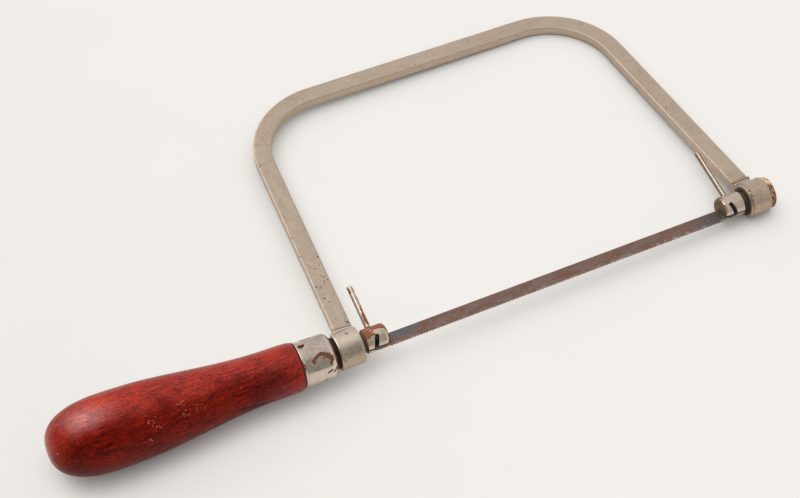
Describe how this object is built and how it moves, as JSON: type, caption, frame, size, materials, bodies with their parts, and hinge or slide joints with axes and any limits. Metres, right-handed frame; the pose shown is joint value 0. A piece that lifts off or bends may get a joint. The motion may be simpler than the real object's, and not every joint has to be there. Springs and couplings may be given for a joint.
{
  "type": "coping saw",
  "caption": "Hand saw with a deep sprung steel bow, a turned wooden handle that screws up to tension the blade, and a thin pin-ended blade held in two slotted, turning holders.",
  "frame": {"origin": "inside the rear eye of the bow, on the line the blade turns about", "axes": "+X along the blade line from the handle to the front, +Y from the blade line to the back of the bow (so the teeth face -Y), +Z square to the bow's plane, up when the saw lies on a bench"},
  "size_m": [0.3185, 0.1523, 0.0305],
  "materials": {
    "nickel_plate": "worn satin nickel plate on steel, with small pits",
    "bright_nickel": "bright nickel plate",
    "rusty_nickel": "nickel plate broken through by red-brown rust",
    "rusty_steel": "rusted bare steel",
    "plain_steel": "plain steel, hidden inside the handle",
    "blade_steel": "blued spring steel, mottled with rust",
    "red_wood": "red-stained and varnished hardwood with short dark pores, scuffed"
  },
  "bodies": {
    "bow": {"frame": "nickel_plate"},
    "handle_group": {"handle": "red_wood", "ferrule": "nickel_plate", "ferrule_brad": "rusty_steel", "handle_nut": "plain_steel", "thrust_washer": "rusty_steel"},
    "front_chuck": {"front_holder": "nickel_plate", "front_lever": "bright_nickel", "front_end_washer": "rusty_steel"},
    "rear_chuck": {"rear_holder": "rusty_nickel", "rear_lever": "rusty_nickel"},
    "blade_group": {"blade": "blade_steel", "rear_blade_pin": "blade_steel", "front_blade_pin": "blade_steel"}
  },
  "joints": [
    {"name": "handle_turn", "type": "hinge", "parent": "bow", "child": "handle_group", "pos_m": [0, 0, 0], "axis": [-1, 0, 0], "range_deg": [0, 1800]},
    {"name": "blade_turn", "type": "hinge", "parent": "bow", "child": "front_chuck", "pos_m": [0, 0, 0], "axis": [1, 0, 0], "continuous": true},
    {"name": "rear_tension", "type": "slide", "parent": "front_chuck", "child": "rear_chuck", "axis": [1, 0, 0], "range_m": [0, 0.00636]},
    {"name": "blade_release", "type": "slide", "parent": "front_chuck", "child": "blade_group", "axis": [0.4695, -0.8829, 0], "range_m": [0, 0.00677]}
  ],
  "couplings": [
    {"joint": "rear_tension", "follows": "handle_turn", "m_per_rad": 0.00020213},
    {"joint": "blade_release", "follows": "handle_turn", "m_per_rad": 0.00021527}
  ]
}
